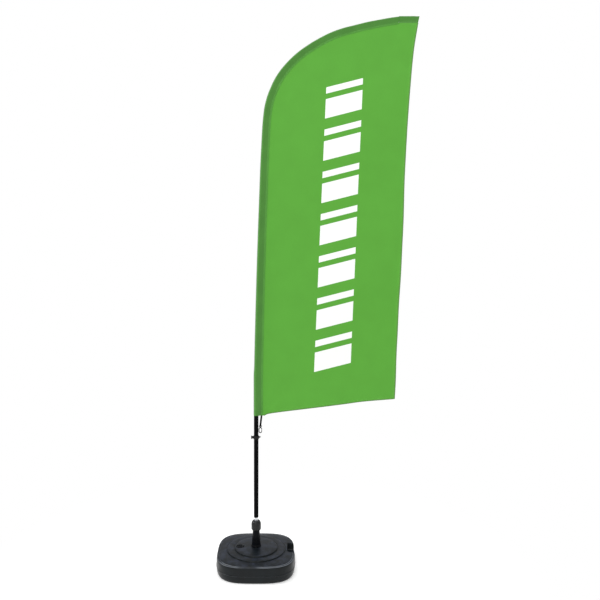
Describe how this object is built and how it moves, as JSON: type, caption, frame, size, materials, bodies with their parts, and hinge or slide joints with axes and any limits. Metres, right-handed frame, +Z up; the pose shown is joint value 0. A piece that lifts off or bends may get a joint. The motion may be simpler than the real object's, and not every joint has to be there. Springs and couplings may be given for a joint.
{
  "type": "beach flag",
  "caption": "Wing-shaped green cloth flag on a bent mast, turning on a ball-bearing spigot in a square water-filled foot.",
  "frame": {"origin": "middle of the foot's underside, on the vertical axis that the flag turns on", "axes": "+Z up along the spigot's axis; +X from the mast towards the cloth's free edge, so the cloth lies in the XZ plane; +Y is through the cloth"},
  "size_m": [1.1402, 0.4284, 3.1],
  "materials": {
    "tank_plastic": "dark slate polyethylene, fine satin grain",
    "neck_plastic": "smooth near-black moulding with a soft shine",
    "nut_plastic": "dark grey glass-filled nylon, satin",
    "nylon": "natural nylon",
    "rubber": "black rubber",
    "steel": "bright zinc-plated steel",
    "bearing_steel": "ground bearing steel",
    "brass": "turned brass",
    "black_tube": "black anodised aluminium tube",
    "glass_fibre": null,
    "flag_cloth": "printed green warp-knit polyester",
    "sleeve_cloth": "darker, denser green polyester of the pole sleeve",
    "webbing": "black woven webbing",
    "dark_steel": "blackened steel"
  },
  "bodies": {
    "foot": {"tank_lower_shell": "tank_plastic", "tank_upper_shell": "tank_plastic", "neck_tube": "neck_plastic", "neck_oring": "rubber", "split_collet": "nylon", "spindle_post": "steel", "circlip": "steel", "thrust_washer": "steel", "bearing_inner_race": "bearing_steel"},
    "cap_seal": {"cap_gasket": "rubber"},
    "cap": {"filler_cap": "neck_plastic"},
    "clamp_ring": {"thrust_ring": "steel"},
    "nut": {"clamp_nut": "nut_plastic"},
    "spigot": {"spigot_sleeve": "steel", "bearing_outer_race": "bearing_steel", "upper_bush": "nylon", "spigot_cap": "nylon"},
    "bearing_cage": {"ball_cage": "brass", "ball_1": "bearing_steel", "ball_2": "bearing_steel", "ball_3": "bearing_steel", "ball_4": "bearing_steel", "ball_5": "bearing_steel", "ball_6": "bearing_steel", "ball_7": "bearing_steel"},
    "mast": {"lower_tube": "black_tube", "pole_stop": "nylon", "mid_ferrule": "black_tube", "mid_tube": "black_tube", "upper_rod": "glass_fibre", "tip_rod": "glass_fibre", "tip_ferrule": "steel", "tip_cap": "rubber", "pole_sleeve": "sleeve_cloth", "flag_panel": "flag_cloth", "tip_pocket": "sleeve_cloth", "tension_strap": "webbing"},
    "hook_eyelet": {"hook_eye": "dark_steel"},
    "hook": {"hook_body": "dark_steel", "gate_pin": "steel"},
    "gate": {"hook_gate": "steel"},
    "collar": {"tension_collar": "nut_plastic"},
    "pad": {"clamp_pad": "brass"},
    "screw": {"thumb_screw": "dark_steel"}
  },
  "joints": [
    {"name": "flag_spin", "type": "hinge", "parent": "foot", "child": "spigot", "pos_m": [0, 0, 0.261], "axis": [0, 0, 1], "continuous": true},
    {"name": "cage_spin", "type": "hinge", "parent": "foot", "child": "bearing_cage", "pos_m": [0, 0, 0.261], "axis": [0, 0, 1], "continuous": true},
    {"name": "mast_lift", "type": "slide", "parent": "spigot", "child": "mast", "axis": [0, 0, 1], "range_m": [0, 0.175]},
    {"name": "cap_rise", "type": "slide", "parent": "foot", "child": "cap_seal", "axis": [0, 0, 1], "range_m": [0, 0.012]},
    {"name": "cap_turn", "type": "hinge", "parent": "cap_seal", "child": "cap", "pos_m": [-0.09, 0, 0.1], "axis": [0, 0, 1], "range_deg": [0, 1080]},
    {"name": "ring_rise", "type": "slide", "parent": "foot", "child": "clamp_ring", "axis": [0, 0, 1], "range_m": [0, 0.012]},
    {"name": "nut_turn", "type": "hinge", "parent": "clamp_ring", "child": "nut", "pos_m": [0, 0, 0.235], "axis": [0, 0, 1], "range_deg": [0, 1080]},
    {"name": "hook_swing", "type": "hinge", "parent": "mast", "child": "hook_eyelet", "pos_m": [0.0237, 0, 0.7855], "axis": [1, 0, 0], "range_deg": [-50, 50]},
    {"name": "hook_swivel", "type": "hinge", "parent": "hook_eyelet", "child": "hook", "pos_m": [0.0237, 0, 0.779], "axis": [0, 0, 1], "continuous": true},
    {"name": "gate_open", "type": "hinge", "parent": "hook", "child": "gate", "pos_m": [0.03105, 0, 0.7564], "axis": [0, -1, 0], "range_deg": [0, 22], "stiffness_Nm_per_rad": 0.02, "springref_deg": -5.73},
    {"name": "collar_slide", "type": "slide", "parent": "mast", "child": "collar", "axis": [0, 0, 1], "range_m": [-0.38, 0.012]},
    {"name": "pad_slide", "type": "slide", "parent": "collar", "child": "pad", "axis": [-1, 0, 0], "range_m": [0, 0.002]},
    {"name": "screw_turn", "type": "hinge", "parent": "pad", "child": "screw", "pos_m": [-0.025, 0, 0.721], "axis": [-1, 0, 0], "range_deg": [0, 720]}
  ],
  "couplings": [
    {"joint": "cage_spin", "follows": "flag_spin", "ratio": 0.5767},
    {"joint": "cap_rise", "follows": "cap_turn", "m_per_rad": 0.00063662},
    {"joint": "ring_rise", "follows": "nut_turn", "m_per_rad": 0.00063662},
    {"joint": "pad_slide", "follows": "screw_turn", "m_per_rad": 0.00015915}
  ]
}
